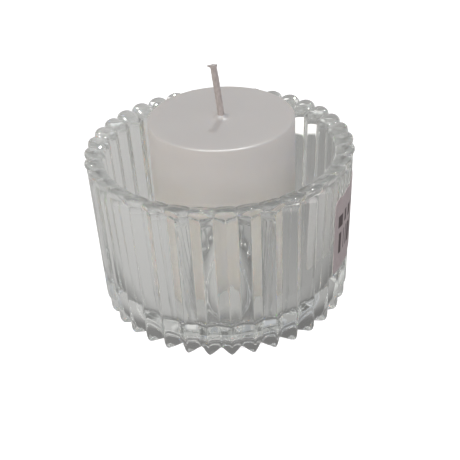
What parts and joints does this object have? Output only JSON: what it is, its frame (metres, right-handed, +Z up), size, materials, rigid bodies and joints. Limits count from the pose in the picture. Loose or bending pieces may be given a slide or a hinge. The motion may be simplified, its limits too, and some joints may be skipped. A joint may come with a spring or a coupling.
{
  "type": "tealight holder",
  "caption": "Round clear glass candle cup with vertical V-shaped ribs and a beaded rim, holding a white wax candle with an upright wick.",
  "frame": {"origin": "centre of the foot, on the surface that the cup stands on", "axes": "+Z up along the cup's axis; +X towards the side that carries the price label; one rib crest points at -Y"},
  "size_m": [0.0712, 0.0712, 0.0675],
  "materials": {
    "clear_glass": "clear pressed glass, fire-polished",
    "label_paper": "matt mauve-pink sticker paper",
    "wax": "smooth translucent white wax, semi-matt",
    "wick_cotton": "waxed braided cotton",
    "tab_metal": "thin tinned sheet"
  },
  "bodies": {
    "holder": {"glass_holder": "clear_glass", "price_label": "label_paper"},
    "candle": {"candle_wax": "wax", "wick": "wick_cotton", "wick_sustainer": "tab_metal"}
  },
  "joints": [
    {"name": "candle_lift", "type": "slide", "parent": "holder", "child": "candle", "axis": [0, 0, 1], "range_m": [0, 0.046]}
  ]
}
